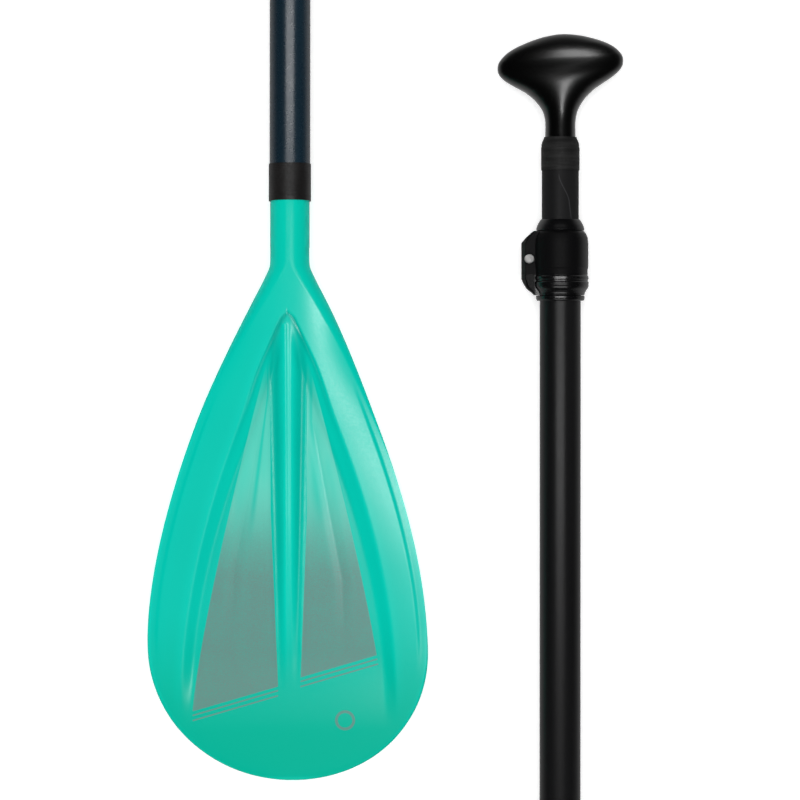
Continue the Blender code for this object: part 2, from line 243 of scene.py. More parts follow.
def box_points(low, high):
    points = [(x, y, z) for x in (low[0], high[0]) for y in (low[1], high[1]) for z in (low[2], high[2])]
    faces = [(0, 1, 3, 2), (4, 6, 7, 5), (0, 4, 5, 1), (2, 3, 7, 6), (0, 2, 6, 4), (1, 5, 7, 3)]
    return points, faces


def through(knots, count):
    """A smooth curve through the knots, by Catmull-Rom."""
    knots = np.array(knots, float)
    padded = np.vstack([2 * knots[0] - knots[1], knots, 2 * knots[-1] - knots[-2]])
    made = []
    for share in np.linspace(0, len(knots) - 1, count):
        k = min(int(share), len(knots) - 2)
        t = share - k
        a, b, c, d = padded[k : k + 4]
        square = 2 * a - 5 * b + 4 * c - d
        cube = 3 * b - a - 3 * c + d
        made.append(0.5 * (2 * b + (c - a) * t + square * t**2 + cube * t**3))
    return np.array(made)


def along(s, places, values):
    """A smooth curve through knots of value against s, constant beyond them and level at the last."""
    places = np.array(places, float)
    values = np.array(values, float)
    slopes = np.gradient(values, places)
    slopes[-1] = 0.0
    s = np.clip(s, places[0], places[-1])
    k = np.clip(np.searchsorted(places, s, side="right") - 1, 0, len(places) - 2)
    span = places[k + 1] - places[k]
    t = (s - places[k]) / span
    start = (1 - t) ** 2 * ((1 + 2 * t) * values[k] + t * span * slopes[k])
    return start + t * t * ((3 - 2 * t) * values[k + 1] + (t - 1) * span * slopes[k + 1])


def smooth(value, low, high):
    """Smooth step from 0 at low to 1 at high; low may be the larger."""
    share = np.clip((value - low) / (high - low), 0.0, 1.0)
    return share * share * (3 - 2 * share)


def bezier(ends, share):
    a, b, c, d = [np.array(end, float) for end in ends]
    left = 1 - share
    return left**3 * a + 3 * left**2 * share * b + 3 * left * share**2 * c + share**3 * d


# ---------------------------------------------------------------- materials


class Nodes:
    """Small helper to write a material's node tree."""

    def __init__(self, name, colour, roughness, metallic=0.0, specular=0.5):
        self.made = bpy.data.materials.new(name)
        self.made.use_nodes = True
        self.tree = self.made.node_tree
        self.shader = self.tree.nodes["Principled BSDF"]
        self.set("Base Color", (*colour, 1.0))
        self.set("Roughness", roughness)
        self.set("Metallic", metallic)
        self.set("Specular IOR Level", specular)

    def set(self, socket, value):
        self.shader.inputs[socket].default_value = value

    def node(self, kind, **settings):
        made = self.tree.nodes.new(kind)
        for key, value in settings.items():
            setattr(made, key, value)
        return made

    def feed(self, socket, source):
        if hasattr(source, "links"):
            self.tree.links.new(source, socket)
        else:
            socket.default_value = source

    def math(self, operation, *values, clamp=False):
        made = self.node("ShaderNodeMath", operation=operation, use_clamp=clamp)
        for socket, value in zip(made.inputs, values):
            self.feed(socket, value)
        return made.outputs[0]

    def times(self, first, *others, clamp=False):
        for other in others:
            first = self.math("MULTIPLY", first, other, clamp=clamp)
        return first

    def plus(self, first, second):
        return self.math("ADD", first, second)

    def minus(self, first, second):
        return self.math("SUBTRACT", first, second)

    def most(self, first, second):
        return self.math("MAXIMUM", first, second)

    def away(self, value, centre):
        """Distance of a value from a centre."""
        return self.math("ABSOLUTE", self.minus(value, centre))

    def section_place(self):
        return self.node("ShaderNodeAttribute", attribute_name="place").outputs["Vector"]

    def place(self):
        """x, s and z of the point shaded, in millimetres in the section's frame."""
        parts = self.node("ShaderNodeSeparateXYZ")
        self.feed(parts.inputs[0], self.section_place())
        return [self.math("MULTIPLY", parts.outputs[k], 1000.0) for k in range(3)]

    def noise(self, scale, detail, stretch=None):
        """Noise in the section's frame; scale is in cells for each metre."""
        coordinates = self.section_place()
        if stretch:
            mapping = self.node("ShaderNodeMapping")
            mapping.inputs["Scale"].default_value = stretch
            self.feed(mapping.inputs["Vector"], coordinates)
            coordinates = mapping.outputs[0]
        made = self.node("ShaderNodeTexNoise")
        made.inputs["Scale"].default_value = scale
        made.inputs["Detail"].default_value = detail
        self.feed(made.inputs["Vector"], coordinates)
        return made.outputs[0]

    def spread(self, value, low, high, to_low=0.0, to_high=1.0, kind="SMOOTHSTEP"):
        made = self.node("ShaderNodeMapRange", interpolation_type=kind)
        for socket, item in zip(made.inputs, (value, low, high, to_low, to_high)):
            self.feed(socket, item)
        return made.outputs[0]

    def mix(self, factor, low, high):
        made = self.node("ShaderNodeMix", data_type="RGBA")
        self.feed(made.inputs["Factor"], factor)
        self.feed(made.inputs[6], low)
        self.feed(made.inputs[7], high)
        return made.outputs[2]

    def colour(self, source):
        self.feed(self.shader.inputs["Base Color"], source)

    def rough(self, source):
        self.feed(self.shader.inputs["Roughness"], source)

    def bump(self, height, distance, strength=1.0):
        made = self.node("ShaderNodeBump")
        made.inputs["Strength"].default_value = strength
        made.inputs["Distance"].default_value = distance
        self.feed(made.inputs["Height"], height)
        self.feed(self.shader.inputs["Normal"], made.outputs[0])


def print_area(n, x, s):
    """1 inside the two printed fields: they lie between the spine and the recess wall."""
    side = n.math("ABSOLUTE", n.plus(x, 1.0))
    narrowing = n.times(n.math("POWER", n.most(n.minus(s, 47.5), 0.0), 1.25), 0.0545)
    outer = n.minus(n.minus(69.3, narrowing), n.math("GREATER_THAN", x, 0.0))
    inner = n.spread(s, 66.0, 190.0, 8.0, 13.0, "LINEAR")
    return n.times(n.spread(n.minus(outer, side), -0.4, 0.4), n.spread(n.minus(side, inner), -0.25, 0.25))


def grey_print(n, x, s, z, within):
    """Speckled grey fields that fade out upwards, two lines under them and a plain ring."""
    step = n.times(n.math("GREATER_THAN", x, 0.0), 1.8)
    above = n.minus(s, n.plus(n.times(x, 0.292), n.plus(68.4, step)))
    patch = n.times(n.spread(above, -0.2, 0.2), n.spread(s, 222.0, 134.0))
    speckle = n.spread(n.noise(1900.0, 2.0), 0.3, 0.72, 0.72, 1.12)
    cloud = n.spread(n.noise(60.0, 2.0), 0.3, 0.7, 0.96, 1.03)
    patch = n.times(patch, speckle, cloud)
    lines = 0.0
    for drop in (2.9, 6.6):
        lines = n.most(lines, n.spread(n.math("ABSOLUTE", n.plus(above, drop)), 0.72, 0.4))
    printed = n.times(n.most(patch, n.times(lines, 0.85)), within, clamp=True)
    across = n.math("POWER", n.minus(x, 39.0), 2.0)
    along_it = n.math("POWER", n.minus(s, 41.5), 2.0)
    from_centre = n.math("SQRT", n.plus(across, along_it))
    ring = n.spread(n.away(from_centre, 6.2), 1.15, 0.85)
    middle_plane = n.plus(-41.0, n.times(s, 0.1228))
    return n.times(n.most(printed, n.times(ring, 0.85)), n.math("GREATER_THAN", z, middle_plane))


def fold_mask(n, x, s):
    """1, but less along the narrow fold in each half of the recess, where the painted sheen is broken."""
    left = n.away(x, n.spread(s, 177.0, 274.0, -28.5, -15.7, "LINEAR"))
    left = n.spread(left, n.spread(s, 275.0, 180.0, 0.9, 3.6, "LINEAR"), 0.0)
    left = n.times(left, n.spread(s, 160.0, 200.0))
    right = n.away(x, n.spread(s, 190.0, 255.0, 22.5, 15.0, "LINEAR"))
    right = n.spread(right, n.spread(s, 255.0, 205.0, 2.0, 8.0, "LINEAR"), 0.0)
    right = n.times(right, n.spread(s, 172.0, 200.0))
    return n.minus(1.0, n.times(n.most(left, right), 0.8))


def teal_blade():
    """Moulded teal nylon with its prints, and painted light and shade: paler teal near the neck and darker
    towards the tip, a painted sheen on the upper recess floor that is partly a lighter print, painted shade
    in the hollows and painted highlights on raised parts and the rim.
    """
    n = Nodes("blade_teal", (0.002, 0.46, 0.33), 0.36, specular=0.08)
    x, s, z = n.place()
    within = print_area(n, x, s)
    printed = grey_print(n, x, s, z, within)
    drift = n.spread(n.noise(9.0, 2.0), 0.3, 0.7)
    teal = n.mix(drift, (0.001, 0.575, 0.45, 1), (0.0015, 0.60, 0.465, 1))
    # Painted shade towards the tip and painted light near the neck: the teal darkens down the blade as the
    # light falls off.
    teal = n.mix(n.spread(s, 130.0, 20.0), teal, (0.0008, 0.485, 0.335, 1))
    teal = n.mix(n.spread(s, 300.0, 400.0), teal, (0.002, 0.60, 0.455, 1))
    # Painted sheen, partly a lighter print: the recess floor turns paler teal in its upper part, in soft
    # streaks, broken along the folds.
    streaks = n.spread(n.noise(55.0, 2.0, (1.0, 0.12, 1.0)), 0.35, 0.6, 0.7, 1.0)
    sheen_and_light_print = n.times(within, n.spread(s, 300.0, 255.0), n.spread(s, 120.0, 205.0), streaks, fold_mask(n, x, s))
    teal = n.mix(sheen_and_light_print, teal, (0.13, 0.68, 0.545, 1))
    coat = n.mix(n.times(printed, 0.94), teal, (0.155, 0.265, 0.243, 1))
    # Painted highlights on raised parts and the rim, a lighter teal, and painted shade in the hollows,
    # towards black.
    painted_relief_light = n.node("ShaderNodeAttribute", attribute_name="painted_relief_light").outputs["Fac"]
    coat = n.mix(n.spread(painted_relief_light, 0.0, 1.0, 0.0, 0.6, "LINEAR"), coat, (0.005, 0.78, 0.62, 1))
    hollow_shade = n.spread(painted_relief_light, -1.0, 0.0, 0.68, 1.0, "LINEAR")
    n.colour(n.mix(hollow_shade, (0.0, 0.0, 0.0, 1), coat))
    n.rough(n.spread(n.noise(700.0, 3.0), 0.3, 0.7, 0.2, 0.24))
    n.bump(n.noise(1500.0, 2.0), 0.00001, 0.3)
    return n.made


def coated_tube(name, colour, roughness, specular):
    """Powder-coated aluminium: a fine orange peel and faint streaks along the tube."""
    n = Nodes(name, colour, roughness, specular=specular)
    streaks = n.noise(60.0, 3.0, (1.0, 0.03, 1.0))
    lifted = tuple(min(1.0, value * 1.35 + 0.002) for value in colour)
    n.colour(n.mix(n.spread(streaks, 0.35, 0.7), (*colour, 1), (*lifted, 1)))
    n.rough(n.spread(n.noise(300.0, 4.0), 0.3, 0.7, roughness - 0.012, roughness + 0.018))
    n.bump(n.noise(900.0, 2.0), 0.000005, 0.2)
    return n.made


def moulded(name, colour, roughness, grain=0.00003, specular=0.5):
    """Moulded plastic or rubber with a fine grain and slightly uneven gloss."""
    n = Nodes(name, colour, roughness, specular=specular)
    lifted = tuple(min(1.0, value * 1.5 + 0.002) for value in colour)
    n.colour(n.mix(n.spread(n.noise(45.0, 4.0), 0.4, 0.75), (*colour, 1), (*lifted, 1)))
    n.rough(n.spread(n.noise(180.0, 4.0), 0.3, 0.7, roughness - 0.04, roughness + 0.06))
    n.bump(n.noise(1400.0, 3.0), grain, 0.5)
    return n.made


def clamp_plastic():
    """Satin body, grained in its middle, with a glossy foot and glossier sides."""
    n = Nodes("clamp_black", (0.0035, 0.0035, 0.0038), 0.3)
    x, s = n.place()[:2]
    band = n.times(n.spread(s, 359.4, 360.4), n.spread(s, 390.4, 389.2))
    gloss = n.spread(s, 358.6, 359.6, 0.23, 0.28)
    n.rough(n.most(gloss, n.spread(band, 0.0, 1.0, 0.0, 0.45)))
    sides = n.most(n.spread(x, 10.0, 16.5, 0.1, 0.8), n.spread(x, -24.4, -25.2, 0.1, 0.5))
    cap_sides = n.spread(n.math("ABSOLUTE", x), 6.0, 13.0, 0.1, 1.0)
    on_cap = n.math("GREATER_THAN", s, CLAMP_TOP_S + 0.1)
    upper = n.spread(on_cap, 0.0, 1.0, sides, cap_sides, "LINEAR")
    foot = n.times(n.spread(s, 359.4, 358.6), n.spread(x, -19.0, -17.0))
    n.feed(n.shader.inputs["Specular IOR Level"], n.spread(foot, 0.0, 1.0, upper, 1.0, "LINEAR"))
    n.bump(n.times(n.noise(1700.0, 2.0), n.spread(band, 0.0, 1.0, 0.15, 1.0)), 0.00005, 0.6)
    return n.made


def brushed_steel():
    n = Nodes("steel", (0.34, 0.34, 0.335), 0.4, 1.0)
    brush = n.noise(2500.0, 2.0, (1.0, 0.1, 1.0))
    n.rough(n.spread(brush, 0.3, 0.7, 0.3, 0.46))
    n.bump(brush, 0.00001, 0.4)
    return n.made


def sleeve_rubber():
    """Shrink sleeve: matte, with soft wrinkles round it."""
    n = Nodes("sleeve_black", (0.012, 0.012, 0.012), 0.55, specular=0.2)
    wrinkles = n.noise(120.0, 3.0, (0.35, 3.0, 0.35))
    grain = n.times(n.noise(1500.0, 2.0), 0.12)
    n.bump(n.plus(wrinkles, grain), 0.0005, 0.5)
    n.rough(n.spread(n.noise(300.0, 3.0), 0.3, 0.7, 0.5, 0.64))
    n.colour(n.mix(n.spread(wrinkles, 0.4, 0.75), (0.01, 0.01, 0.01, 1), (0.019, 0.019, 0.019, 1)))
    return n.made


def extension_satin():
    """Satin black anodised tube with one faint, lighter curved line near the grip."""
    n = Nodes("extension_black", (0.01, 0.01, 0.0105), 0.45, specular=0.08)
    x, s, z = n.place()
    bend = n.plus(n.spread(s, 431.0, 410.0, -1.5, 6.0), n.spread(s, 410.0, 398.0, 0.0, 1.6, "LINEAR"))
    line = n.spread(n.away(x, bend), 0.6, 0.2)
    span = n.times(n.spread(s, 396.0, 402.0), n.spread(s, 432.0, 428.0))
    # The lighter curved line, on the upper half of the tube only.
    lighter_line = n.times(line, span, n.math("GREATER_THAN", z, 0.0))
    streaks = n.noise(60.0, 3.0, (1.0, 0.03, 1.0))
    base = n.mix(n.spread(streaks, 0.35, 0.7), (0.009, 0.009, 0.0095, 1), (0.014, 0.014, 0.0145, 1))
    n.colour(n.mix(lighter_line, base, (0.03, 0.03, 0.032, 1)))
    n.rough(n.spread(n.noise(300.0, 4.0), 0.3, 0.7, 0.36, 0.46))
    n.bump(n.noise(1200.0, 2.0), 0.00002, 0.3)
    return n.made


LOOKS = {
    "blade_teal": teal_blade(),
    "shaft_navy": coated_tube("shaft_navy", (0.0052, 0.0165, 0.027), 0.28, 1.0),
    "shaft_black": coated_tube("shaft_black", (0.0048, 0.0048, 0.0052), 0.33, 0.42),
    "spigot_black": coated_tube("spigot_black", (0.012, 0.012, 0.012), 0.4, 0.5),
    "extension_black": extension_satin(),
    "collar_black": moulded("collar_black", (0.009, 0.0085, 0.0085), 0.42, 0.00004, 0.55),
    "clamp_black": clamp_plastic(),
    "grip_black": Nodes("grip_black", (0.0012, 0.0012, 0.0012), 0.28).made,
    "sleeve_black": sleeve_rubber(),
    "o_ring_rubber": moulded("o_ring_rubber", (0.012, 0.012, 0.012), 0.6),
    "steel": brushed_steel(),
}


# ---------------------------------------------------------------- blade

SHOULDER_KNOTS = ((BLADE_WIDEST_S, BLADE_HALF_WIDTH), (206, BLADE_HALF_WIDTH), (351, 20.9), (350, 21.5))
SHOULDER = np.array([bezier(SHOULDER_KNOTS, t) for t in np.linspace(0, 0.985, 300)])
RECESS_KNOTS = ((332, 0), (250, 40), (150, 80), (40, 77))
RECESS = np.array([bezier(RECESS_KNOTS, t) for t in np.linspace(0, 1, 200)])[::-1]
PROFILE_S = (0, 60, 150, 250, 300, 335, 375)
TIP_POWER = 2.045


def half_width(s):
    """Half the blade's width at a distance s from the tip."""
    if s <= BLADE_WIDEST_S:
        share = (BLADE_WIDEST_S - s) / (BLADE_WIDEST_S - BLADE_TIP_S)
        return BLADE_HALF_WIDTH * max(0.0, 1 - share**TIP_POWER) ** (1 / TIP_POWER)
    if s <= 349.5:
        return float(np.interp(s, SHOULDER[:, 0], SHOULDER[:, 1]))
    straight = 21.5 - 0.5 * (s - 350)
    past_neck = straight - NECK_R
    return NECK_R + max(0.0, math.sqrt(past_neck**2 + 1.5) / 2 + past_neck / 2 - 0.1)


def outline_centre(s):
    """The outline is a little fuller at the left, and its tip lies a little to the right."""
    left = OUTLINE_SHIFT * smooth(s, 20, 120) * smooth(s, 345, 250)
    return 1.1 * smooth(s, 45, 0) - left


def rake(s):
    """Height of the blade's middle plane over the shaft axis."""
    slope = math.tan(math.radians(RAKE_DEG))
    share = min(1.0, max(0.0, (RAKE_START_S - s) / RAKE_LENGTH))
    bend = RAKE_LENGTH * (share**3 - share**4 / 2)
    return -slope * (bend + max(0.0, RAKE_START_S - RAKE_LENGTH - s))


def line_at(x, centre, half):
    """1 at the centre of a narrow line and 0 beyond half its width."""
    return np.clip(1 - np.abs(x - centre) / half, 0.0, 1.0) ** 2


def recess_edge(s):
    """Half the width of the recess in the upper face, round at its apex."""
    apex = RECESS[-1, 0]
    rounding = 3.0 * smooth(s, 255, 300) * math.sqrt(min(1.0, max(0.0, apex - s) / 4.0))
    return float(np.interp(s, RECESS[:, 0], RECESS[:, 1], left=77.0, right=0.0)) + rounding


def front_height(x, s):
    """Height of the blade's upper face over its middle plane, before the edge is rounded."""
    width = max(half_width(s), 1.0)
    rim_side = np.abs(x - outline_centre(s))
    share = rim_side / width
    across = np.abs(x - RELIEF_SHIFT)
    crown = along(s, PROFILE_S, [2.2, 3.0, 4.2, 6.4, 8.6, 11.0, NECK_R])
    rim = along(s, [0, 80, 150, 250, 300, 335, 375], [2.0, 2.0, 1.9, 2.2, 4.0, 8.8, NECK_R])
    plateau = rim + (crown - rim) * (1 - share**2.4)
    bevel = 0.45 * smooth(rim_side, width - 7.5, width - 5.5) * smooth(s, 70, 110) * smooth(s, 285, 240)
    edge_x = recess_edge(s)
    inside = edge_x - across
    wall = np.interp(s, [40, 300], [6.5, 11.0])
    here = smooth(s, 35, 90)
    drop = sum(np.clip((inside + shift) / wall, 0, 1) for shift in (-1.2, -0.6, 0, 0.6)) / 4
    depth = 3.8 * here * drop * (0.65 + 0.35 * smooth(s, 90, 280))
    groove = 0.4 * line_at(across, edge_x - 0.6, 1.8) * smooth(s, 240, 300) * (s < 334)
    spine_half = np.interp(s, [70, 282, 332], [8.0, 13.0, 16.0])
    spine = (1 - smooth(across, 1.5, spine_half * 0.8)) * smooth(s, 55, 190)
    ridge = 0.5 * np.exp(-((((x - RELIEF_SHIFT) + 2.2) / 1.8) ** 2)) * smooth(s, 60, 140)
    lip = 0.35 * line_at(across, spine_half, 1.6) * smooth(s, 62, 110) * smooth(s, 296, 270)
    crease_x = np.where(
        x < 0,
        np.interp(s, [96, 150, 200, 254], [41.0, 38.0, 28.0, 19.0]),
        np.interp(s, [96, 142, 200, 261], [40.0, 39.0, 28.0, 17.0]),
    )
    crease = 0.22 * (1 - smooth(np.abs(across - crease_x), 0.0, 7.0))
    crease *= smooth(s, 80, 150) * smooth(s, 268, 235)
    fold = 0.1 * line_at(across, crease_x, 1.6) * smooth(s, 95, 140) * smooth(s, 262, 240)
    return plateau - bevel - groove - depth * (1 - spine) + ridge * (s < 325) + lip - crease - fold


def back_height(x, s):
    """Depth of the blade's lower face under its middle plane, before the edge is rounded."""
    share = np.abs(x) / max(half_width(s), 1.0)
    crown = along(s, PROFILE_S, [2.0, 2.6, 4.0, 7.0, 9.6, 12.0, NECK_R])
    rim = along(s, [0, 150, 250, 300, 335, 375], [1.8, 2.2, 2.8, 4.5, 9.0, NECK_R])
    return rim + (crown - rim) * (1 - smooth(share, 0.0, 0.6))


def edge_round(s, width):
    """How far in from the outline the blade's edge is rounded."""
    return min(width, float(along(s, [0, 280, 335, 375], [2.4, 3.4, 9.0, NECK_R])))


def blade_ring(s, turns):
    """One cross-section of the blade, a hair inside the CAD's outline."""
    width = half_width(s)
    edge = edge_round(s, width)
    centre = outline_centre(s)
    x = centre + (width - BLADE_CLEARANCE) * np.cos(turns)
    over = np.clip(np.abs(x - centre) - (width - edge), 0.0, None) / edge
    rounding = np.sqrt(np.clip(1 - over * over, 0.0, None))
    height = np.where(np.sin(turns) >= 0, front_height(x, s), -back_height(x, s))
    return np.stack([x, np.full_like(x, s), rake(s) + height * rounding], axis=1)


def painted_relief_light_of(ring):
    """Painted shade and light on the upper face, from -1 to 1: painted shade where a point lies below its
    surroundings, painted highlights where it stands over them, a painted dark line along the recess edge, a
    painted light band inside it and painted light along the rim.
    """
    s = float(ring[0, 1])
    if s > 372:
        return np.zeros(len(ring))
    x = ring[:, 0]
    steps = ((-7, 0), (7, 0), (-3.5, 0), (3.5, 0), (0, -4), (0, 4))
    around = [front_height(x + dx, s + ds) for dx, ds in steps]
    # Painted shade in hollows and painted highlights on what stands out, from the height against its
    # neighbours.
    raised = 0.6 * np.clip((front_height(x, s) - np.mean(around, axis=0)) / 0.8, -1.0, 1.0)
    inside = recess_edge(s) - np.abs(x - RELIEF_SHIFT)
    here = smooth(s, 38, 70) * (s < 333)
    # A painted dark line just inside the recess edge, stronger towards the apex.
    raised -= 0.45 * here * np.exp(-(((inside - 1.5) / 2.2) ** 2)) * (0.6 + 1.3 * smooth(s, 200, 300))
    # A painted light band on the recess wall, about 8 mm inside its edge, fading towards the apex.
    raised += 0.4 * here * np.exp(-(((inside - 8.0) / 2.5) ** 2)) * smooth(s, 290, 240)
    margin = np.minimum(half_width(s) - np.abs(x - outline_centre(s)), s - BLADE_TIP_S)
    # Faded out near the outline and the neck, with painted light along the outline.
    return raised * smooth(margin, 4.0, 12.0) * smooth(s, 372, 340) + 0.4 * smooth(margin, 4.0, 1.0)


def even_turns(width, count, edge):
    """Angles whose points lie evenly across the blade, with a few more round its edges."""
    flat = np.linspace(-1, 1, count // 2 - 16)[1:-1] * (1 - edge / width)
    round_edge = 1 - edge / width * (1 - np.sin(np.linspace(0, math.pi / 2, 9)))
    half = np.concatenate([-round_edge[::-1], flat, round_edge])
    upper = np.arccos(np.clip(half[::-1], -1, 1))
    return np.concatenate([upper, 2 * math.pi - upper[::-1][1:-1]])


def blade():
    """The blade with its neck, the ledge at the neck's foot, and the stem hidden in the shaft."""
    coarse = 1.0
    count = int(400 * coarse)
    reach = BLADE_WIDEST_S - BLADE_TIP_S
    tip = BLADE_WIDEST_S - reach * np.cos(np.linspace(0.05, math.pi / 2, int(70 * coarse)))
    stations = np.concatenate([tip, np.linspace(93, 378, int(260 * coarse))])
    rings = []
    for s in stations:
        width = half_width(s)
        rings.append(blade_ring(s, even_turns(width, count, edge_round(s, width))))
    turns = even_turns(NECK_R, count, NECK_R * 0.98)
    ledge = [(14.05, 379.0), (14.05, 405.0), (NECK_R, NECK_TOP_S), (STEM_R, NECK_TOP_S), (STEM_R, STEM_TOP_S)]
    neck = rounded(ledge, 0.5, 4, False)
    neck += [(STEM_BORE_R, STEM_TOP_S), (STEM_BORE_R, 405.0)]
    for radius, s in neck:
        rings.append(round_ring(radius, s, turns))
    look = LOOKS["blade_teal"]
    made = piece("blade_moulding", *loft(rings), LOWER, "lower_section", look, ["blade"], 40.0)
    # The painted shade and light of the upper face, kept on each point for the blade's material.
    painted_relief_light = made.data.attributes.new("painted_relief_light", "FLOAT", "POINT")
    painted_relief_light.data.foreach_set("value", np.concatenate([painted_relief_light_of(ring) for ring in rings]).tolist())


# ---------------------------------------------------------------- turned pieces


def turned_piece(name, outline, home, look, node):
    """A closed outline of (radius, s) turned about the shaft axis; home is its section and body."""
    return piece(name, *turned(outline, True), *home, LOOKS[look], [node])


def tube(name, node, inner, outer, span, home, look):
    corners = [(inner, span[0]), (outer, span[0]), (outer, span[1]), (inner, span[1])]
    return turned_piece(name, rounded(corners, 0.25), home, look, node)


def ribbed_collar():
    """Collar with fine rings round it and a raised ridge near its lower end."""
    low, high = 412.0, 438.4
    outline = [(14.75, low), (15.1, low)]
    for s in np.arange(low + 0.3, high - 0.3, 0.22):
        ribs = 0.045 * math.sin((s - low) / 1.15 * 2 * math.pi)
        ridge = 0.16 * math.exp(-(((s - low - 3.6) / 0.5) ** 2))
        outline.append((15.04 + ribs * smooth(s, low + 4, low + 6) + ridge, s))
    outline += [(15.1, high), (14.75, high)]
    turned_piece("blade_collar_skin", outline, LOWER_HOME, "collar_black", "blade_collar")


def spigot():
    """The plug-in tube with its two seals in their grooves, its button hole and its end plug."""
    inner, outer, low, high = 11.4, 13.2, 810.0, 930.0
    corners = [(inner, low), (outer, low)]
    for groove in O_RINGS.values():
        corners += [(outer, groove - 1.1), (outer - 0.9, groove - 1.1)]
        corners += [(outer - 0.9, groove + 1.1), (outer, groove + 1.1)]
    corners += [(outer, high), (inner, high)]
    made = turned_piece("spigot_tube", rounded(corners, 0.4), LOWER_HOME, "spigot_black", "joint_spigot")
    cut(made, piece("spigot_cutter", *rod((0, BUTTON_S, 5), "Z", 3.8, 20), LOWER, None, None), LOWER)
    turns = np.linspace(0, 2 * math.pi, 17)[:-1]
    for name, s in O_RINGS.items():
        outline = [(12.98 + 0.6 * math.cos(turn), s + 0.6 * math.sin(turn)) for turn in turns]
        turned_piece(name + "_seal", outline, LOWER_HOME, "o_ring_rubber", name)
    plug = [(0.01, 913.6), (10.4, 914.0), (11.1, 915.5), (11.1, 929.5), (7.0, 929.5)]
    plug += [(6.4, 927.8), (0.01, 927.8)]
    points, faces = turned(rounded(plug, 0.6, 4, False), False)
    piece("spigot_end_plug", points, faces, *LOWER_HOME, LOOKS["collar_black"], ["spigot_plug"])


def snap_button():
    """The button's stepped cap, round at its top, which stands out of the spigot's hole."""
    cap = [(0.01, 9.0), (5.0, 9.0), (5.0, 10.0), (3.5, 10.0), (3.5, 15.8)]
    cap += [(3.5 * math.cos(t), 15.8 + 1.5 * math.sin(t)) for t in np.linspace(0.15, math.pi / 2 - 0.01, 9)]
    points, faces = turned(cap, False, 64)
    points = np.array(points) @ UPRIGHT + np.array((0, BUTTON_S, 0))
    piece("snap_button_dome", points, faces, LOWER, "button", LOOKS["steel"], ["snap_button"])


def lower_parts():
    blade()
    ribbed_collar()
    tube("navy_tube", "lower_shaft", SHAFT_BORE_R, SHAFT_R, (425.0, 870.0), LOWER_HOME, "shaft_navy")
    corners = [(13.5, 870.3), (15.4, 870.3), (RING_R, 871.2), (RING_R, 876.6), (15.2, 878.0), (13.5, 878.0)]
    turned_piece("joint_collar", rounded(corners, 0.5), LOWER_HOME, "collar_black", "joint_ring")
    spigot()
    snap_button()


# ---------------------------------------------------------------- clamp


def clamp_section(s, radius, reach):
    """One cross-section of the clamp body: a round barrel with a lug at the left."""
    lug = min(LUG_HALF_HEIGHT, radius * 0.5)
    start = math.pi - math.asin(lug / radius)
    turns = np.linspace(-start, start, 150)
    ring = [(radius * math.cos(turn), s, radius * math.sin(turn)) for turn in turns]
    depth = min(2.6, (reach - radius) * 0.4)
    corners = [(-radius, lug), (-reach + depth, lug), (-reach, lug - depth * 1.3), (-reach, 0.0)]
    top = rounded(corners, 0.7, 5, False)[1:-1]
    ring += [(x, s, z) for x, z in top]
    ring += [(x, s, -z) for x, z in top[::-1]]
    return ring


def clamp_body():
    """Split barrel that squeezes the tube, with ridges round it and the bolt lugs at the left."""
    knots = [
        (345.0, 17.2, 18.7),
        (346.6, 17.6, 20.2),
        (348.6, 18.7, 22.9),
        (350.0, 19.7, 24.3),
        (351.4, 20.2, 25.2),
        (354.2, 20.3, 26.8),
        (355.0, 19.7, 27.1),
        (355.8, 19.7, 27.4),
        (356.4, 20.2, 27.6),
        (358.2, 20.1, LUG_REACH),
        (359.0, 19.5, LUG_REACH),
        (363.8, 19.6, LUG_REACH),
        (364.4, 19.9, LUG_REACH),
        (365.0, 20.0, LUG_REACH),
        (382.0, 20.0, LUG_REACH),
        (385.6, 19.6, 24.9),
        (387.2, 19.1, 23.2),
        (388.8, 18.4, 21.4),
        (389.4, 17.9, 20.8),
        (CLAMP_TOP_S, 16.9, 18.9),
    ]
    stations = []
    for low, high in zip(np.array(knots[:-1]), np.array(knots[1:])):
        steps = 2 if high[0] - low[0] < 2 else 4
        stations += [tuple(low + (high - low) * k / steps) for k in range(steps)]
    stations.append(knots[-1])
    rings = [clamp_section(*station) for station in stations]
    body = piece("clamp_shell", *loft(rings), *UPPER_HOME, LOOKS["clamp_black"], ["clamp_body"])
    cutters = [
        rod((0, 340, 0), "Y", 14.8, 60, SIDES),
        box_points((-30, 340, -0.9), (-13, 400, 0.9)),
        rod((BOLT_X, BOLT_S, -20), "Z", 2.8, 40),
        rod((BOLT_X, BOLT_S, 4.5), "Z", 3.8, 20),
    ]
    for points, faces in cutters:
        cut(body, piece("clamp_cutter", points, faces, UPPER, None, None), UPPER)
    body.modifiers.new("weighted_normals", "WEIGHTED_NORMAL").keep_sharp = True


def clamp_rings():
    """The plain ring under the clamp body and the conical cap ring over it."""
    foot = [(14.8, 341.0), (16.6, 341.0), (17.3, 342.2), (17.3, 344.7), (14.8, 344.7)]
    turned_piece("clamp_foot_ring", rounded(foot, 0.6), UPPER_HOME, "clamp_black", "clamp_bottom_ring")
    cap = [(13.5, 391.0), (17.2, 391.0), (17.1, 392.6), (16.3, 395.0), (15.0, 397.4), (13.9, 399.0)]
    cap.append((13.5, 399.0))
    turned_piece("clamp_cap_ring", rounded(cap, 0.7), UPPER_HOME, "clamp_black", "clamp_top_ring")


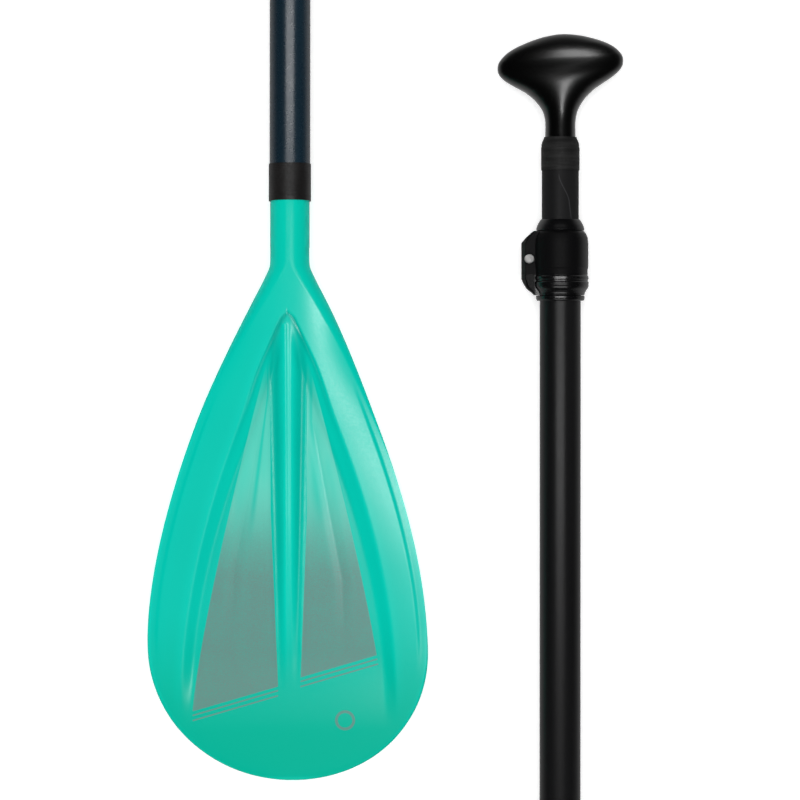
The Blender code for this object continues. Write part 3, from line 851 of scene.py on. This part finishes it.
def clamp_bolt():
    """The tension bolt, its head up in the lug, with a hexagon socket."""
    corners = [(0.01, 0.0), (2.5, 0.0), (2.5, 15.5), (3.45, 15.5), (3.45, 18.8), (0.01, 18.8)]
    points, faces = turned(rounded(corners, 0.45, 4, False), False, 64)
    points = np.array(points) @ UPRIGHT + np.array((BOLT_X, BOLT_S, -10.3))
    bolt = piece("tension_bolt", points, faces, UPPER, "tension_screw", LOOKS["steel"], ["clamp_bolt"])
    cut(bolt, piece("hex_cutter", *rod((BOLT_X, BOLT_S, 7.4), "Z", 1.5, 5, 6), UPPER, None, None), UPPER)


def clamp_lever():
    """Cam lever under the clamp, with rounded ends and finger ribs across its tip."""
    hub = 4.8
    knuckle = [math.radians(60 + k * 4) for k in range(46)]
    outer = np.radians(np.linspace(235.0, LEVER_TIP_DEG, 81))
    inner = np.radians(np.linspace(LEVER_TIP_DEG, 222.2, 81))
    low, high = LEVER_S
    rings = []
    for share in np.linspace(0, 1, 26):
        s = low + (high - low) * share
        end = max(0.0, 1.5 - min(s - low, high - s)) / 1.5
        inset = 1.2 * (1 - math.sqrt(1 - end * end))
        ring = [(BOLT_X + hub * math.cos(turn), s, PIN_Z + hub * math.sin(turn)) for turn in knuckle]
        for k, turn in enumerate(outer):
            rib = 0.25 * (1 + math.cos(turn * 75)) * smooth(k, 58, 62) * smooth(k, 80, 76)
            radius = LEVER_R[1] - inset - rib
            ring.append((radius * math.cos(turn), s, radius * math.sin(turn)))
        ring += [(LEVER_R[0] * math.cos(turn), s, LEVER_R[0] * math.sin(turn)) for turn in inner]
        rings.append(ring)
    lever = piece("cam_lever", *loft(rings), UPPER, "lever", LOOKS["clamp_black"], ["clamp_lever"])
    cutters = [
        rod((BOLT_X, 340, PIN_Z), "Y", 3.05, 60),
        box_points((BOLT_X - 8, BOLT_S - 4.4, PIN_Z - 8), (BOLT_X + 4.6, BOLT_S + 4.4, PIN_Z + 8)),
    ]
    for points, faces in cutters:
        cut(lever, piece("lever_cutter", points, faces, UPPER, None, None), UPPER)


# ---------------------------------------------------------------- grip and tubes


def grip():
    """Palm grip: a wide cap on a flaring neck, with a stem down inside the extension tube."""
    sides = 160
    knots = [
        (459.0, 10.8, 10.2),
        (468.0, 10.8, 10.4),
        (474.0, 11.8, 11.0),
        (478.0, 13.4, 11.8),
        (482.0, 16.0, 12.7),
        (485.5, 18.9, 13.4),
        (488.0, 21.6, 13.9),
        (490.6, 24.8, 14.4),
        (493.5, 29.4, 14.95),
        (497.6, 36.2, 15.7),
        (501.5, 41.2, 16.15),
        (505.0, 43.9, 16.2),
        (508.5, 44.75, 16.0),
        (512.0, 44.4, 15.4),
        (515.0, 42.8, 14.5),
        (519.0, 38.9, 12.9),
        (522.4, 33.6, 11.0),
        (525.3, 26.9, 8.8),
        (527.8, 19.5, 6.4),
        (529.6, 12.4, 4.1),
        (530.75, 4.6, 1.7),
        (530.95, 1.0, 0.4),
    ]
    turns = np.linspace(0, 2 * math.pi, sides, endpoint=False)
    rings = []
    for radius, s in ((11.0, 425.0), (11.7, 425.8), (11.7, 450.6), (10.8, 451.6)):
        rings.append(round_ring(radius, s, turns))
    for s, width, depth in through(knots, 220):
        lean = GRIP_LEAN * smooth(s, 466, 484)
        x = width * np.cos(turns)
        rings.append(np.stack([x, s + x * lean, depth * np.sin(turns)], axis=1))
    piece("palm_grip", *loft(rings), *EXTENSION_HOME, LOOKS["grip_black"], ["handle_grip"], 50.0)


def sleeve():
    """Shrink sleeve, drawn in at the top where it grips the palm grip's neck."""
    outer = [(13.45, 434.0), (13.7, 434.0), (13.72, 440.0), (13.7, 446.0), (13.74, 449.4), (13.5, 450.6)]
    outer += [(13.45, 452.0), (13.0, 454.0), (11.9, 456.4), (11.6, 457.6)]
    outline = [(13.45, 434.0)] + [tuple(knot) for knot in through(outer[1:], 60)]
    outline += [(11.1, 457.6), (11.1, 455.0), (11.6, 453.0), (13.45, 451.6)]
    turned_piece("grip_sleeve", outline, EXTENSION_HOME, "sleeve_black", "handle_sleeve")


def upper_parts():
    coated_r = SHAFT_R + 0.12
    tube("black_tube", "upper_shaft", SHAFT_BORE_R, coated_r, (-261.7, 389.0), UPPER_HOME, "shaft_black")
    corners = [(13.5, -314.0), (RING_R, -314.0), (RING_R, -300.0), (15.6, -299.4), (15.6, -254.0)]
    corners += [(RING_R, -253.4), (RING_R, -250.0), (14.8, -250.0), (14.8, -262.0), (13.5, -262.0)]
    socket = turned_piece("socket", rounded(corners, 0.6), UPPER_HOME, "collar_black", "shaft_socket")
    window = piece("window_cutter", *rod((0, BUTTON_HOLE_S, 5), "Z", 4.1, 20), UPPER, None, None)
    cut(socket, window, UPPER)
    clamp_body()
    clamp_rings()
    clamp_bolt()
    clamp_lever()
    radii, span = (EXTENSION_BORE_R, EXTENSION_R), (-240.0, 451.0)
    tube("inner_tube", "extension_tube", *radii, span, EXTENSION_HOME, "extension_black")
    grip()
    sleeve()


def carried_over():
    """CAD nodes that stay as they are, with their final materials."""
    looks = {"button_spring": "steel", "lever_pin": "steel", "extension_end_plug": "collar_black"}
    for name, look in looks.items():
        node = frame["nodes"][name]
        node.data.materials.clear()
        node.data.materials.append(LOOKS[look])


# ---------------------------------------------------------------- stage, light and camera

# The picture's centre, its width at that height and the camera's height over it, in metres
PICTURE_X = 0.01089
PICTURE_Y = -0.0377
PICTURE_Z = 0.028
PICTURE_WIDTH = 0.570
CAMERA_HEIGHT = 3.0


def floor():
    """White paper that the sections lie on, with the shadows lightened; no piece reflects it."""
    mesh = bpy.data.meshes.new("floor")
    mesh.from_pydata([(-9, -9, 0), (9, -9, 0), (9, 9, 0), (-9, 9, 0)], [], [(0, 1, 2, 3)])
    obj = bpy.data.objects.new("floor", mesh)
    bpy.context.scene.collection.objects.link(obj)
    n = Nodes("floor_paper", (0.8, 0.8, 0.8), 0.9, specular=0.0)
    n.set("Emission Color", (1, 1, 1, 1))
    n.set("Emission Strength", 0.5)
    mesh.materials.append(n.made)
    obj.visible_glossy = False


def area_light(name, place, target, size, power):
    light = bpy.data.lights.new(name, "AREA")
    light.energy = power
    light.shape = "RECTANGLE"
    light.size, light.size_y = size
    obj = bpy.data.objects.new(name, light)
    bpy.context.scene.collection.objects.link(obj)
    obj.location = place
    obj.rotation_euler = (Vector(target) - Vector(place)).to_track_quat("-Z", "Y").to_euler()
    obj.visible_camera = False
    return obj


def softbox(name, place, size, power, pieces, link, target=(0, 0, 0)):
    """A light that only gives reflections, on the named pieces (INCLUDE) or on all but them (EXCLUDE)."""
    made = area_light(name, place, target, size, power)
    made.visible_diffuse = False
    lit = bpy.data.collections.new(name + "_lit")
    for piece_name in pieces:
        lit.objects.link(bpy.data.objects[piece_name])
    for member in lit.collection_objects:
        member.light_linking.link_state = link
    made.light_linking.receiver_collection = lit


def light_scene():
    """A white fill that gives no reflections, softboxes that only do, and a room that is white to the
    camera and dark grey towards its floor in reflections."""
    world = bpy.data.worlds.new("studio")
    bpy.context.scene.world = world
    world.use_nodes = True
    tree = world.node_tree
    background = tree.nodes["Background"]
    direction = tree.nodes.new("ShaderNodeTexCoord")
    parts = tree.nodes.new("ShaderNodeSeparateXYZ")
    ramp = tree.nodes.new("ShaderNodeMapRange")
    for socket, value in zip(ramp.inputs, (0.0, 0.18, -0.5, 0.0, 0.42)):
        socket.default_value = value
    background.inputs["Color"].default_value = (1, 1, 1, 1)
    tree.links.new(direction.outputs["Generated"], parts.inputs[0])
    tree.links.new(parts.outputs[2], ramp.inputs[0])
    path = tree.nodes.new("ShaderNodeLightPath")
    seen = tree.nodes.new("ShaderNodeMath")
    seen.operation = "MAXIMUM"
    tree.links.new(ramp.outputs[0], seen.inputs[0])
    tree.links.new(path.outputs["Is Camera Ray"], seen.inputs[1])
    tree.links.new(seen.outputs[0], background.inputs["Strength"])
    fill = area_light("fill", (0.0, 0.1, 3.6), (0, 0, 0), (2.8, 2.8), 150)
    fill.visible_glossy = False
    grip = ["palm_grip"]
    moulding = ["blade_moulding"]
    softbox("overhead", (0.0, 0.3, 3.5), (2.8, 0.35), 23, grip, "EXCLUDE")
    softbox("blade_softbox", (0.57, -0.5, 3.2), (0.5, 0.36), 60, moulding, "INCLUDE")
    softbox("neck_softbox", (0.6, -1.0, 3.0), (0.5, 0.5), 20, grip, "INCLUDE")
    softbox("grip_softbox", (0.75, 2.45, 2.4), (1.6, 0.8), 40, grip, "INCLUDE")
    softbox("grip_strip", (0.5, 0.6, 3.3), (0.25, 2.6), 2.5, grip, "INCLUDE")
    softbox("grip_card", (0.125, 0.15, 0.002), (0.9, 0.5), 0.6, grip, "INCLUDE", (0.125, 0.15, 1.0))
    softbox("far_softbox", (0.0, 2.3, 2.6), (3.0, 1.0), 15, grip + moulding, "EXCLUDE")
    softbox("near_softbox", (0.0, -2.3, 2.6), (3.0, 1.0), 15, grip + moulding, "EXCLUDE")


def camera():
    data = bpy.data.cameras.new("camera")
    data.sensor_width = 36.0
    data.lens = 36.0 * CAMERA_HEIGHT / PICTURE_WIDTH
    data.clip_end = 50.0
    obj = bpy.data.objects.new("camera", data)
    bpy.context.scene.collection.objects.link(obj)
    obj.location = (PICTURE_X, PICTURE_Y, PICTURE_Z + CAMERA_HEIGHT)
    bpy.context.scene.camera = obj


lower_parts()
upper_parts()
carried_over()
floor()
light_scene()
camera()
bpy.context.scene.view_settings.view_transform = "Standard"
bpy.context.view_layer.update()
